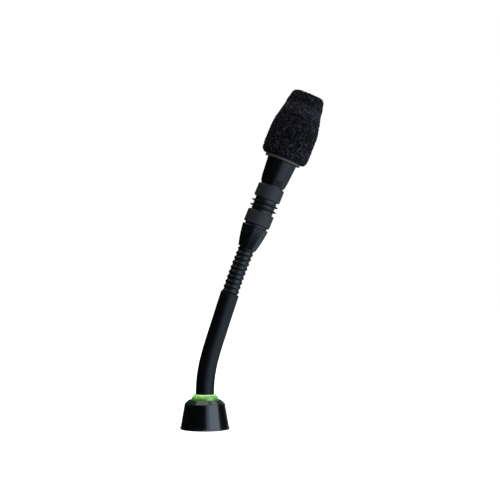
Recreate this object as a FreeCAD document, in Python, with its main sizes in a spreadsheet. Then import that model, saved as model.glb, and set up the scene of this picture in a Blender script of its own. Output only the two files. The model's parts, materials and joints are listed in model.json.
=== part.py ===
import FreeCAD, Part
import math
import os
from types import SimpleNamespace

import Sketcher

# A plug-on gooseneck podium microphone, in millimetres. The origin is the centre of the base's
# bottom rim, +Z is up and the neck leans towards +X. Every turned piece is a sketch revolved about
# its own Z axis, and the pieces of the neck and the head are placed along the leaning neck.

Vector = FreeCAD.Vector
doc = FreeCAD.newDocument("podium_microphone")

# ---------------------------------------------------------------- driving dimensions

SIZES = {
    # base shell
    "lip_radius": 10.35,
    "lip_height": 0.8,
    "skirt_bottom_radius": 10.1,
    "skirt_top_radius": 8.4,
    "skirt_height": 10.6,
    "shoulder_radius": 6.8,
    "shoulder_rise": 1.5,
    "roof_thickness": 2.1,
    "dock_bore_radius": 7.6,
    "dock_end_gap": 0.2,
    "stack_radius": 7.05,
    # what the base holds, from the roof down
    "lens_flange_thickness": 1.1,
    "lens_flange_radius": 6.6,
    "lens_radius": 5.7,
    "lens_top_radius": 4.45,
    "lens_rise": 2.4,
    "bushing_wall": 0.68,
    "bushing_flange_radius": 5.0,
    "bushing_length": 3.5,
    "led_gap": 0.9,
    "spacer_wall": 0.45,
    "led_circle_radius": 5.9,
    "led_size": 0.8,
    "led_height": 0.7,
    "board_thickness": 0.8,
    "insulator_thickness": 1.2,
    "insulator_rim_height": 0.6,
    "insulator_rim_width": 0.6,
    "pin_radius": 0.5,
    "pin_circle_radius": 4.2,
    "pin_reach": 0.8,
    "clip_thickness": 0.5,
    "clip_width": 1.1,
    "clip_groove_depth": 0.3,
    "clip_land": 0.5,
    # neck
    "jacket_radius": 3.85,
    "jacket_wall": 0.38,
    "jacket_top": 58.0,
    "jacket_first_pivot": 2.0,
    "jacket_last_pivot": 6.5,
    "seat_margin": 0.45,
    "flex_bore_radius": 1.9,
    "flex_length": 20.0,
    "flex_first_pivot": 0.6,
    "flex_last_pivot": 4.84,
    "crest_radius": 3.55,
    "root_radius": 3.12,
    "crest_width": 0.5,
    "cable_radius": 1.1,
    # head, from the ferrule up
    "ferrule_length": 9.6,
    "ferrule_wall": 0.3,
    "ferrule_top_radius": 5.6,
    "ferrule_bulge_radius": 60.0,
    "ferrule_chamfer": 0.3,
    "ferrule_socket_depth": 5.0,
    "spigot_radius": 3.2,
    "spigot_bore_radius": 2.3,
    "spigot_setback": 0.5,
    "groove_radius": 4.85,
    "lower_groove": 0.9,
    "band_radius": 5.65,
    "band_chamfer": 0.35,
    "lower_band_width": 5.6,
    "isolator_core_radius": 4.6,
    "fin_zone": 5.8,
    "fin_radius": 5.85,
    "fin_spacing": 2.08,
    "fin_root_width": 1.1,
    "fin_tip_width": 0.4,
    "upper_band_width": 5.7,
    "upper_groove": 0.8,
    "housing_length": 10.7,
    "housing_bottom_radius": 5.2,
    "housing_waist_radius": 5.65,
    "housing_waist_rise": 2.5,
    "housing_top_radius": 6.3,
    "housing_floor": 1.5,
    "housing_cavity_radius": 4.5,
    "spigot_engagement": 1.4,
    "preamp_board_width": 7.4,
    "preamp_board_thickness": 0.8,
    "preamp_board_length": 4.5,
    "contact_disc_thickness": 0.6,
    "contact_pin_radius": 0.6,
    # cartridge
    "thread_length": 3.1,
    "thread_radius": 5.3,
    "cartridge_radius": 6.0,
    "cartridge_wall": 0.6,
    "cartridge_length": 20.8,
    "cartridge_lip": 0.4,
    "cartridge_lip_width": 0.5,
    "slot_width": 1.0,
    "slot_height": 3.0,
    "slot_below_top": 11.0,
    "grille_thickness": 0.6,
    "grille_hole_radius": 0.45,
    "grille_circle_radius": 3.0,
    "ring_height": 0.6,
    "ring_width": 0.95,
    "diaphragm_thickness": 0.1,
    "air_gap": 0.1,
    "backplate_thickness": 0.8,
    "backplate_hole_radius": 0.3,
    "backplate_circle_radius": 2.8,
    "insulator_cup_wall": 0.4,
    "insulator_cup_depth": 4.0,
    "insulator_cup_floor": 0.8,
    "felt_thickness": 0.8,
    "capsule_board_height": 1.8,
    "backplate_pin_radius": 0.4,
    # windscreen
    "snap_ring_height": 1.2,
    "snap_ring_rim": 1.6,
    "snap_ring_chamfer": 0.25,
    "collar_wall": 0.4,
    "collar_rise": 4.0,
    "foam_height": 28.6,
    "foam_radius": 9.9,
    "foam_foot_rim": 0.9,
    "foam_foot_rise": 1.9,
    "foam_foot_bulge": 2.0,
    "foam_straight": 13.9,
    "foam_top_radius": 6.2,
    "foam_top_bulge": 110.0,
    "foam_edge": 0.6,
    "foam_roof": 7.0,
    # clearances
    "running_gap": 0.05,
    "fit_gap": 0.02,
    "seat_gap": 0.05,
    "free_gap": 0.15,
    "wire_gap": 0.1,
}

JACKET_LINKS = 8
FLEX_LINKS = 8
PIN_COUNT = 6
LED_COUNT = 4
SLOT_COUNT = 8
HOLE_COUNT = 6
CLIP_ANGLE = 320.0
# the part of each straight run that the cable's arcs may take up
ARC_SHARE = 0.45
# how far the neck turns at each pivot, in degrees, from the lowest pivot up: the lower neck sweeps
# over, then the bare turns and the head lean a little further
LOWER_BENDS = (4.0, 5.5, 4.5, 3.0, 0.9, 0.0, 0.0, 0.0)
UPPER_BENDS = (0.4, 0.9, 0.5, 0.5, 0.5, 0.5, 0.5, 0.4)

sheet = doc.addObject("Spreadsheet::Sheet", "Sheet")
for row, (alias, number) in enumerate(SIZES.items(), start=1):
    sheet.set(f"A{row}", alias.replace("_", " "))
    sheet.set(f"B{row}", str(number))
    sheet.setAlias(f"B{row}", alias)
doc.recompute()


class Size:
    """A length that carries its number and the spreadsheet expression it comes from."""

    def __init__(self, value, text):
        self.value = value
        self.text = text

    @staticmethod
    def of(other):
        return other if isinstance(other, Size) else Size(float(other), repr(float(other)))

    def __add__(self, other):
        other = Size.of(other)
        return Size(self.value + other.value, f"({self.text} + {other.text})")

    def __sub__(self, other):
        other = Size.of(other)
        return Size(self.value - other.value, f"({self.text} - {other.text})")

    def __rsub__(self, other):
        return Size.of(other) - self

    def __mul__(self, other):
        other = Size.of(other)
        return Size(self.value * other.value, f"({self.text} * {other.text})")

    def __truediv__(self, other):
        other = Size.of(other)
        return Size(self.value / other.value, f"({self.text} / {other.text})")

    def __neg__(self):
        return Size.of(0) - self

    __radd__ = __add__
    __rmul__ = __mul__


def leg(long_side, short_side):
    """The other leg of a right triangle."""
    square = long_side * long_side - short_side * short_side
    return Size(math.sqrt(square.value), f"sqrt({square.text})")


s = SimpleNamespace(**{name: Size(getattr(sheet, name), f"Sheet.{name}") for name in SIZES})

# ---------------------------------------------------------------- helpers


class Dome:
    """An arc about a centre on the axis, from one outline point to the next."""

    def __init__(self, centre, radius):
        self.centre = Size.of(centre)
        self.radius = Size.of(radius)


class Bulge:
    """An arc of a given radius that swells outwards, from one outline point to the next."""

    def __init__(self, radius):
        self.radius = Size.of(radius)


def bind(item, path, size):
    item.setExpression(path, Size.of(size).text)


def constrain(sketch, size, *what):
    number = sketch.addConstraint(Sketcher.Constraint(*what, size.value))
    sketch.setExpression(f"Constraints[{number}]", size.text)


def origin_plane(body, role):
    return next(plane for plane in body.Origin.OriginFeatures if plane.Role == role)


def new_sketch(body, name, role):
    sketch = body.newObject("Sketcher::SketchObject", name)
    sketch.AttachmentSupport = [(origin_plane(body, role), "")]
    sketch.MapMode = "FlatFace"
    return sketch


def arc_edge(start, end, centre, radius):
    """The arc between two points, and whether it runs from end to start."""
    a, b = start - centre, end - centre
    backwards = a.x * b.y - a.y * b.x < 0
    first, last = (b, a) if backwards else (a, b)
    angles = math.atan2(first.y, first.x), math.atan2(last.y, last.x)
    circle = Part.Circle(centre, Vector(0, 0, 1), radius)
    return Part.ArcOfCircle(circle, *angles), backwards


def bulge_centre(start, end, radius):
    """Centre of the arc that swells to the right of the way from start to end."""
    chord = end - start
    middle = (start + end) * 0.5
    inwards = Vector(-chord.y, chord.x, 0).normalize()
    return middle + inwards * math.sqrt(radius**2 - (chord.Length / 2) ** 2)


def draw_outline(sketch, outline):
    """A closed outline of (radius, height) or (radius, height, arc to the next point). A height of
    None is where the point's radius meets the dome that starts or ends there."""
    count = len(outline)
    arcs = [entry[2] if len(entry) > 2 else None for entry in outline]
    places = []
    for index, entry in enumerate(outline):
        radius, height = Size.of(entry[0]), entry[1]
        if height is None:
            dome = arcs[index] if isinstance(arcs[index], Dome) else arcs[index - 1]
            height = dome.centre + leg(dome.radius, radius)
        places.append(Vector(radius.value, Size.of(height).value, 0))
    edges = []
    for index, arc in enumerate(arcs):
        start, end = places[index], places[(index + 1) % count]
        if arc is None:
            edges.append((sketch.addGeometry(Part.LineSegment(start, end)), 1, 2))
            continue
        if isinstance(arc, Dome):
            centre = Vector(0, arc.centre.value, 0)
        else:
            centre = bulge_centre(start, end, arc.radius.value)
        shape, backwards = arc_edge(start, end, centre, arc.radius.value)
        first, last = (2, 1) if backwards else (1, 2)
        edges.append((sketch.addGeometry(shape), first, last))
    for index, (edge, first, _) in enumerate(edges):
        before, _, last = edges[index - 1]
        sketch.addConstraint(Sketcher.Constraint("Coincident", before, last, edge, first))
        radius, height = outline[index][:2]
        constrain(sketch, Size.of(radius), "DistanceX", edge, first)
        if height is not None:
            constrain(sketch, Size.of(height), "DistanceY", edge, first)
        arc = arcs[index]
        if arc is not None:
            constrain(sketch, arc.radius, "Radius", edge)
        if isinstance(arc, Dome):
            constrain(sketch, Size.of(0), "DistanceX", edge, 3)
            constrain(sketch, arc.centre, "DistanceY", edge, 3)


def turned(name, outline, placement=None, angle=360.0):
    """A piece turned about its own Z axis from an outline in its XZ plane."""
    body = doc.addObject("PartDesign::Body", name)
    sketch = new_sketch(body, f"{name}_outline", "XZ_Plane")
    draw_outline(sketch, outline)
    turning = body.newObject("PartDesign::Revolution", f"{name}_turning")
    turning.Profile = sketch
    turning.ReferenceAxis = (sketch, ["V_Axis"])
    turning.Angle = angle
    sketch.Visibility = False
    return keep(name, body, placement)


def ring(name, inner, outer, height, placement=None):
    outline = [(inner, 0), (outer, 0), (outer, height), (inner, height)]
    return turned(name, outline, placement)


def drill(body, circle_radius, hole_radius, count):
    """A circle of holes through a piece that stands on its XY plane."""
    sketch = new_sketch(body, f"{body.Name}_hole", "XY_Plane")
    centre = Vector(circle_radius.value, 0, 0)
    circle = sketch.addGeometry(Part.Circle(centre, Vector(0, 0, 1), hole_radius.value))
    constrain(sketch, circle_radius, "DistanceX", circle, 3)
    constrain(sketch, Size.of(0), "DistanceY", circle, 3)
    constrain(sketch, hole_radius, "Radius", circle)
    cut_around(body, sketch, count)


def cut_around(body, sketch, count):
    """Cut a sketch right through the piece, repeated evenly about its axis."""
    doc.recompute()
    before = body.Shape.Volume
    pocket = body.newObject("PartDesign::Pocket", f"{body.Name}_pocket")
    pocket.Profile = sketch
    pocket.Type = "ThroughAll"
    pocket.Reversed = True
    doc.recompute()
    pattern = body.newObject("PartDesign::PolarPattern", f"{body.Name}_pattern")
    pattern.Originals = [pocket]
    pattern.Axis = (origin_axis(body, "Z_Axis"), [""])
    pattern.Angle = 360.0
    pattern.Occurrences = count
    body.Tip = pattern
    doc.recompute()
    if body.Shape.Volume >= before:
        raise RuntimeError(f"nothing was cut from {body.Name}")


def origin_axis(body, role):
    return next(axis for axis in body.Origin.OriginFeatures if axis.Role == role)


kept = {}


def keep(name, item, placement=None):
    """Name a finished sub-part and put it in its place."""
    item.Label = name
    if placement is not None:
        item.Placement = placement
    kept[name] = item
    return item


def raised(height):
    """A placement on the base's axis."""
    return FreeCAD.Placement(Vector(0, 0, Size.of(height).value), FreeCAD.Rotation())


def tilted(point, tilt, rise=0.0):
    """A placement whose Z axis leans by tilt degrees towards +X, moved up that axis by rise."""
    turn = FreeCAD.Rotation(Vector(0, 1, 0), tilt)
    along = turn.multVec(Vector(0, 0, Size.of(rise).value))
    return FreeCAD.Placement(point + along, turn)


def group(name, members, placement=None):
    """Identical pieces kept as separate solids of one sub-part."""
    bundle = doc.addObject("Part::Compound", name)
    bundle.Links = members
    return keep(name, bundle, placement)


# ---------------------------------------------------------------- heights in the base

shoulder_top = s.skirt_height + s.shoulder_rise
lens_top = shoulder_top + s.lens_rise
roof = shoulder_top - s.roof_thickness
lens_foot = roof - s.lens_flange_thickness
board_top = lens_foot - s.led_gap
board_foot = board_top - s.board_thickness
insulator_top = board_foot - s.insulator_rim_height
insulator_foot = insulator_top - s.insulator_thickness
clip_foot = insulator_foot - s.clip_thickness
dock_bore_depth = clip_foot - s.clip_land
dock_fit_depth = dock_bore_depth - s.dock_end_gap
neck_foot = board_top + s.free_gap

# ---------------------------------------------------------------- the neck's line

jacket_pitch = (s.jacket_top - lens_top - s.jacket_first_pivot - s.jacket_last_pivot) / (
    JACKET_LINKS - 1
)
flex_pitch = (s.flex_length - s.flex_first_pivot - s.flex_last_pivot) / (FLEX_LINKS - 1)
handover = s.jacket_last_pivot + s.flex_first_pivot


def neck_line():
    """The pivots from the lowest up, each with the tilt of the link above it."""
    steps = [jacket_pitch.value] * (JACKET_LINKS - 1)
    steps += [handover.value] + [flex_pitch.value] * (FLEX_LINKS - 1)
    point = Vector(0, 0, (lens_top + s.jacket_first_pivot).value)
    tilt = 0.0
    line = []
    for step, bend in zip([0.0] + steps, LOWER_BENDS + UPPER_BENDS):
        lean = math.radians(tilt)
        point = point + Vector(math.sin(lean), 0, math.cos(lean)) * step
        tilt += bend
        line.append((point, tilt))
    return line


pivots = neck_line()
top_pivot, head_tilt = pivots[-1]


def in_head(rise):
    """A placement on the head's axis, measured up from the foot of the ferrule."""
    return tilted(top_pivot, head_tilt, s.flex_last_pivot + rise)


# ---------------------------------------------------------------- base


def make_base():
    clip_groove = s.stack_radius + s.clip_groove_depth
    turned(
        "base_skirt",
        [
            (s.dock_bore_radius, 0),
            (s.lip_radius, 0),
            (s.lip_radius, s.lip_height),
            (s.skirt_bottom_radius, s.lip_height),
            (s.skirt_top_radius, s.skirt_height),
            (s.shoulder_radius, shoulder_top),
            (s.lens_radius + s.free_gap, shoulder_top),
            (s.lens_radius + s.free_gap, roof),
            (s.stack_radius, roof),
            (s.stack_radius, insulator_foot),
            (clip_groove, insulator_foot),
            (clip_groove, clip_foot),
            (s.stack_radius, clip_foot),
            (s.stack_radius, dock_bore_depth),
            (s.dock_bore_radius, dock_bore_depth),
        ],
    )
    bushing_radius = s.jacket_radius + s.fit_gap + s.bushing_wall
    bushing_rise = s.bushing_length - s.led_gap
    lens_hole = s.jacket_radius + s.free_gap
    turned(
        "light_ring",
        [
            (bushing_radius + s.fit_gap, 0),
            (s.lens_flange_radius, 0),
            (s.lens_flange_radius, s.lens_flange_thickness),
            (s.lens_radius, s.lens_flange_thickness),
            (s.lens_radius, shoulder_top - lens_foot),
            (s.lens_top_radius, lens_top - lens_foot),
            (lens_hole, lens_top - lens_foot),
            (lens_hole, bushing_rise + s.fit_gap),
            (bushing_radius + s.fit_gap, bushing_rise + s.fit_gap),
        ],
        raised(lens_foot),
    )
    turned(
        "neck_bushing",
        [
            (s.jacket_radius + s.fit_gap, 0),
            (s.bushing_flange_radius, 0),
            (s.bushing_flange_radius, s.led_gap),
            (bushing_radius, s.led_gap),
            (bushing_radius, s.bushing_length),
            (s.jacket_radius + s.fit_gap, s.bushing_length),
        ],
        raised(board_top),
    )
    stack_fit = s.stack_radius - s.seat_gap
    ring("spacer_ring", stack_fit - s.spacer_wall, stack_fit, s.led_gap, raised(board_top))
    ring("main_board", 0, stack_fit, s.board_thickness, raised(board_foot))
    rim = stack_fit - s.insulator_rim_width
    insulator = turned(
        "connector_insulator",
        [
            (0, 0),
            (stack_fit, 0),
            (stack_fit, s.insulator_thickness + s.insulator_rim_height),
            (rim, s.insulator_thickness + s.insulator_rim_height),
            (rim, s.insulator_thickness),
            (0, s.insulator_thickness),
        ],
        raised(insulator_foot),
    )
    drill(insulator, s.pin_circle_radius, s.pin_radius, PIN_COUNT)
    clip_outer = clip_groove - s.seat_gap
    turned(
        "retaining_clip",
        [
            (clip_outer - s.clip_width, 0),
            (clip_outer, 0),
            (clip_outer, s.clip_thickness),
            (clip_outer - s.clip_width, s.clip_thickness),
        ],
        raised(clip_foot),
        CLIP_ANGLE,
    )


def make_pins():
    pins = []
    for index in range(PIN_COUNT):
        turn = 2 * math.pi * index / PIN_COUNT
        pin = doc.addObject("Part::Cylinder", f"connector_pin_{index}")
        bind(pin, "Radius", s.pin_radius)
        bind(pin, "Height", s.pin_reach + s.insulator_thickness + s.insulator_rim_height)
        bind(pin, "Placement.Base.x", s.pin_circle_radius * math.cos(turn))
        bind(pin, "Placement.Base.y", s.pin_circle_radius * math.sin(turn))
        pins.append(pin)
    group("connector_pins", pins, raised(insulator_foot - s.pin_reach))


def make_leds():
    leds = []
    for index in range(LED_COUNT):
        turn = 2 * math.pi * (index + 0.5) / LED_COUNT
        led = doc.addObject("Part::Box", f"status_led_{index}")
        bind(led, "Length", s.led_size)
        bind(led, "Width", s.led_size)
        bind(led, "Height", s.led_height)
        bind(led, "Placement.Base.x", s.led_circle_radius * math.cos(turn) - s.led_size / 2)
        bind(led, "Placement.Base.y", s.led_circle_radius * math.sin(turn) - s.led_size / 2)
        leds.append(led)
    group("status_leds", leds, raised(board_top))


# ---------------------------------------------------------------- neck

jacket_bore = s.jacket_radius - s.jacket_wall
jacket_seat = s.jacket_radius + s.seat_margin
flex_seat = s.crest_radius + s.seat_margin
covered_radius = jacket_bore - s.fit_gap


def link_outline(inner, outer, foot_seat, rise, top_seat):
    """A tube with a hollow dome below, about its own pivot, and a dome above, about the next."""
    return [
        (outer, None),
        (outer, None, Dome(rise, top_seat)),
        (inner, None),
        (inner, None, Dome(0, foot_seat + s.running_gap)),
    ]


def make_jacket():
    first = s.jacket_first_pivot + lens_top
    turned(
        "neck_jacket_00",
        [
            (jacket_bore, neck_foot),
            (s.jacket_radius, neck_foot),
            (s.jacket_radius, None, Dome(first, jacket_seat)),
            (jacket_bore, None),
        ],
    )
    for index in range(JACKET_LINKS):
        outline = link_outline(
            jacket_bore, s.jacket_radius, jacket_seat, jacket_pitch, jacket_seat
        )
        if index == JACKET_LINKS - 1:
            outline[1:3] = [
                (s.jacket_radius, s.jacket_last_pivot),
                (jacket_bore, s.jacket_last_pivot),
            ]
        turned(f"neck_jacket_{index + 1:02d}", outline, tilted(*pivots[index]))


def make_flex():
    first = s.jacket_first_pivot + lens_top
    turned(
        "flex_link_00",
        [
            (s.flex_bore_radius, neck_foot),
            (covered_radius, neck_foot),
            (covered_radius, None, Dome(first, jacket_seat)),
            (s.flex_bore_radius, None),
        ],
    )
    for index in range(JACKET_LINKS - 1):
        outline = link_outline(
            s.flex_bore_radius, covered_radius, jacket_seat, jacket_pitch, jacket_seat
        )
        turned(f"flex_link_{index + 1:02d}", outline, tilted(*pivots[index]))
    bare_start = s.jacket_last_pivot + s.fit_gap
    bare_rise = leg(flex_seat, s.root_radius)
    turned(
        f"flex_link_{JACKET_LINKS:02d}",
        [
            (covered_radius, None),
            (covered_radius, bare_start),
            (s.root_radius, bare_start),
            *crest(handover + bare_rise - flex_pitch / 2),
            (s.root_radius, None, Dome(handover, flex_seat)),
            (s.flex_bore_radius, None),
            (s.flex_bore_radius, None, Dome(0, jacket_seat + s.running_gap)),
        ],
        tilted(*pivots[JACKET_LINKS - 1]),
    )
    for index in range(JACKET_LINKS, JACKET_LINKS + FLEX_LINKS - 1):
        turned(
            f"flex_link_{index + 1:02d}",
            [
                (s.root_radius, None),
                *crest(bare_rise + flex_pitch / 2),
                (s.root_radius, None, Dome(flex_pitch, flex_seat)),
                (s.flex_bore_radius, None),
                (s.flex_bore_radius, None, Dome(0, flex_seat + s.running_gap)),
            ],
            tilted(*pivots[index]),
        )
    socket_top = s.flex_last_pivot + s.ferrule_socket_depth
    turned(
        f"flex_link_{JACKET_LINKS + FLEX_LINKS:02d}",
        [
            (s.root_radius, None),
            *crest(bare_rise + flex_pitch / 2),
            (s.root_radius, s.flex_last_pivot),
            (s.crest_radius, s.flex_last_pivot),
            (s.crest_radius, socket_top),
            (s.flex_bore_radius, socket_top),
            (s.flex_bore_radius, None, Dome(0, flex_seat + s.running_gap)),
        ],
        tilted(top_pivot, head_tilt),
    )


def crest(middle):
    """The ridge of one wound turn."""
    return [
        (s.crest_radius, middle - s.crest_width / 2),
        (s.crest_radius, middle + s.crest_width / 2),
    ]


def make_cable():
    """The cable through the neck: straight runs joined by tangent arcs."""
    lean_point, lean_tilt = pivots[JACKET_LINKS - 1]
    foot = Vector(0, 0, board_top.value)
    board_rise = s.flex_last_pivot + housing_foot + s.housing_floor + s.free_gap
    end = tilted(top_pivot, head_tilt, board_rise).Base
    lower_corner = lean_point - lean_vector(lean_tilt) * (
        lean_point.x / math.sin(math.radians(lean_tilt))
    )
    upper_corner = meeting(lean_point, lean_tilt, top_pivot, head_tilt)
    path = rounded_path([foot, lower_corner, upper_corner, end])
    section = Part.Wire(Part.makeCircle(s.cable_radius.value, foot, Vector(0, 0, 1)))
    cable = doc.addObject("Part::Feature", "mic_cable")
    cable.Shape = path.makePipeShell([section], True, True)
    expected = math.pi * s.cable_radius.value**2 * path.Length
    print(f"mic_cable: {path.Length:.1f} mm long, volume ratio {cable.Shape.Volume / expected:.4f}")
    return keep("mic_cable", cable)


def lean_vector(tilt):
    return Vector(math.sin(math.radians(tilt)), 0, math.cos(math.radians(tilt)))


def meeting(point_a, tilt_a, point_b, tilt_b):
    """Where two leaning lines in the XZ plane cross."""
    a, b = lean_vector(tilt_a), lean_vector(tilt_b)
    gap = point_b - point_a
    travel = (gap.x * b.z - gap.z * b.x) / (a.x * b.z - a.z * b.x)
    return point_a + a * travel


def rounded_path(points):
    """Straight runs through the points with a wide tangent arc at each inner point."""
    edges = []
    start = points[0]
    for before, corner, after in zip(points, points[1:], points[2:]):
        inwards = (before - corner).normalize()
        outwards = (after - corner).normalize()
        setback = ARC_SHARE * min((before - corner).Length, (after - corner).Length)
        turn = math.pi - inwards.getAngle(outwards)
        radius = setback / math.tan(turn / 2)
        entry, leave = corner + inwards * setback, corner + outwards * setback
        bisector = (inwards + outwards).normalize()
        centre = corner + bisector * math.hypot(radius, setback)
        middle = centre - bisector * radius
        edges.append(Part.LineSegment(start, entry).toShape())
        edges.append(Part.Arc(entry, middle, leave).toShape())
        print(f"cable arc radius {radius:.0f} mm")
        start = leave
    edges.append(Part.LineSegment(start, points[-1]).toShape())
    return Part.Wire(edges)


# ---------------------------------------------------------------- head

lower_band_foot = s.ferrule_length + s.lower_groove
fin_foot = lower_band_foot + s.lower_band_width
upper_band_foot = fin_foot + s.fin_zone
upper_band_top = upper_band_foot + s.upper_band_width
housing_foot = upper_band_top + s.upper_groove
housing_top = housing_foot + s.housing_length
cartridge_top = housing_top + s.cartridge_length
spigot_hole = s.spigot_radius + s.fit_gap


def make_isolator():
    socket = s.crest_radius + s.fit_gap
    turned(
        "neck_ferrule",
        [
            (socket, 0),
            (s.crest_radius + s.ferrule_wall, 0, Bulge(s.ferrule_bulge_radius)),
            (s.ferrule_top_radius, s.ferrule_length - s.ferrule_chamfer),
            (s.ferrule_top_radius - s.ferrule_chamfer, s.ferrule_length),
            (spigot_hole, s.ferrule_length),
            (spigot_hole, s.ferrule_socket_depth),
            (socket, s.ferrule_socket_depth),
        ],
        in_head(0),
    )
    spigot_foot = s.ferrule_socket_depth + s.fit_gap
    ring(
        "lower_spigot",
        s.spigot_bore_radius,
        s.spigot_radius,
        fin_foot - s.spigot_setback - spigot_foot,
        in_head(spigot_foot),
    )
    upper_foot = upper_band_foot + s.spigot_setback
    ring(
        "upper_spigot",
        s.spigot_bore_radius,
        s.spigot_radius,
        housing_foot + s.spigot_engagement - upper_foot,
        in_head(upper_foot),
    )
    fin_middle = (fin_foot + upper_band_foot) / 2
    fins = []
    for side in (-1, 1):
        middle = fin_middle + s.fin_spacing * (side / 2)
        fins += [
            (s.isolator_core_radius, middle - s.fin_root_width / 2),
            (s.fin_radius, middle - s.fin_tip_width / 2),
            (s.fin_radius, middle + s.fin_tip_width / 2),
            (s.isolator_core_radius, middle + s.fin_root_width / 2),
        ]
    turned(
        "isolator_sleeve",
        [
            (spigot_hole, s.ferrule_length),
            (s.groove_radius, s.ferrule_length),
            (s.groove_radius, lower_band_foot),
            (s.isolator_core_radius, lower_band_foot),
            *fins,
            (s.isolator_core_radius, upper_band_top),
            (s.groove_radius, upper_band_top),
            (s.groove_radius, housing_foot),
            (spigot_hole, housing_foot),
        ],
        in_head(0),
    )
    for name, foot, width in (
        ("lower_band", lower_band_foot, s.lower_band_width),
        ("upper_band", upper_band_foot, s.upper_band_width),
    ):
        turned(
            name,
            [
                (s.isolator_core_radius + s.fit_gap, 0),
                (s.band_radius - s.band_chamfer, 0),
                (s.band_radius, s.band_chamfer),
                (s.band_radius, width - s.band_chamfer),
                (s.band_radius - s.band_chamfer, width),
                (s.isolator_core_radius + s.fit_gap, width),
            ],
            in_head(foot),
        )


thread_bore = s.thread_radius + s.fit_gap
thread_foot = housing_top - s.thread_length
cavity_foot = housing_foot + s.housing_floor
board_foot_in_head = cavity_foot + s.free_gap
contact_foot = board_foot_in_head + s.preamp_board_length


def make_preamp():
    turned(
        "preamp_housing",
        [
            (spigot_hole, 0),
            (s.housing_bottom_radius, 0),
            (s.housing_waist_radius, s.housing_waist_rise),
            (s.housing_top_radius, s.housing_length),
            (thread_bore, s.housing_length),
            (thread_bore, thread_foot - s.seat_gap - housing_foot),
            (s.housing_cavity_radius, thread_foot - s.seat_gap - housing_foot),
            (s.housing_cavity_radius, s.housing_floor),
            (spigot_hole, s.housing_floor),
        ],
        in_head(housing_foot),
    )
    board = doc.addObject("Part::Box", "preamp_board")
    bind(board, "Length", s.preamp_board_width)
    bind(board, "Width", s.preamp_board_thickness)
    bind(board, "Height", s.preamp_board_length)
    place = in_head(board_foot_in_head)
    half = Vector(-s.preamp_board_width.value / 2, -s.preamp_board_thickness.value / 2, 0)
    place.Base = place.Base + place.Rotation.multVec(half)
    keep("preamp_board", board, place)
    disc_radius = s.housing_cavity_radius - s.seat_gap
    ring("contact_disc", 0, disc_radius, s.contact_disc_thickness, in_head(contact_foot))


felt_foot = (
    cartridge_top
    - s.cartridge_lip
    - s.grille_thickness
    - s.ring_height
    - s.diaphragm_thickness
    - s.air_gap
    - s.insulator_cup_depth
    - s.felt_thickness
)


def make_cartridge():
    bore = s.cartridge_radius - s.cartridge_wall
    thread_bore_radius = s.thread_radius - s.cartridge_wall
    housing = turned(
        "cartridge_housing",
        [
            (thread_bore_radius, 0),
            (s.thread_radius, 0),
            (s.thread_radius, s.thread_length + s.fit_gap),
            (s.cartridge_radius, s.thread_length + s.fit_gap),
            (s.cartridge_radius, cartridge_top - thread_foot),
            (bore - s.cartridge_lip_width, cartridge_top - thread_foot),
            (bore - s.cartridge_lip_width, cartridge_top - s.cartridge_lip - thread_foot),
            (bore, cartridge_top - s.cartridge_lip - thread_foot),
            (bore, s.thread_length + s.cartridge_wall),
            (thread_bore_radius, s.thread_length + s.cartridge_wall),
        ],
        in_head(thread_foot),
    )
    cut_sound_slots(housing)
    inner = bore - s.seat_gap
    capsule_board_foot = housing_top + s.capsule_board_height
    ring("capsule_board", 0, inner, s.board_thickness, in_head(capsule_board_foot))
    pin_foot = contact_foot + s.contact_disc_thickness
    ring("contact_pin", 0, s.contact_pin_radius, capsule_board_foot - pin_foot, in_head(pin_foot))
    lead_hole = s.backplate_pin_radius + s.wire_gap
    ring("rear_felt", lead_hole, inner, s.felt_thickness, in_head(felt_foot))
    cup_foot = felt_foot + s.felt_thickness
    cup_bore = inner - s.insulator_cup_wall
    turned(
        "capsule_insulator",
        [
            (lead_hole, 0),
            (inner, 0),
            (inner, s.insulator_cup_depth),
            (cup_bore, s.insulator_cup_depth),
            (cup_bore, s.insulator_cup_floor),
            (lead_hole, s.insulator_cup_floor),
        ],
        in_head(cup_foot),
    )
    plate_foot = cup_foot + s.insulator_cup_depth - s.backplate_thickness
    plate_radius = cup_bore - s.seat_gap
    plate = ring("backplate", 0, plate_radius, s.backplate_thickness, in_head(plate_foot))
    drill(plate, s.backplate_circle_radius, s.backplate_hole_radius, HOLE_COUNT)
    pin_start = capsule_board_foot + s.board_thickness
    ring("backplate_pin", 0, s.backplate_pin_radius, plate_foot - pin_start, in_head(pin_start))
    film_foot = cup_foot + s.insulator_cup_depth + s.air_gap
    ring("diaphragm", 0, inner, s.diaphragm_thickness, in_head(film_foot))
    ring_foot = film_foot + s.diaphragm_thickness
    ring("diaphragm_ring", inner - s.ring_width, inner, s.ring_height, in_head(ring_foot))
    grille = ring("grille", 0, inner, s.grille_thickness, in_head(ring_foot + s.ring_height))
    drill(grille, s.grille_circle_radius, s.grille_hole_radius, HOLE_COUNT)


def cut_sound_slots(body):
    """Slots through the wall of the cartridge tube."""
    foot = cartridge_top - s.slot_below_top - thread_foot
    half, top = s.slot_width / 2, foot + s.slot_height
    corners = [(-half, foot), (half, foot), (half, top), (-half, top)]
    sketch = new_sketch(body, "sound_slot", "XZ_Plane")
    draw_outline(sketch, corners)
    cut_around(body, sketch, SLOT_COUNT)


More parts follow.
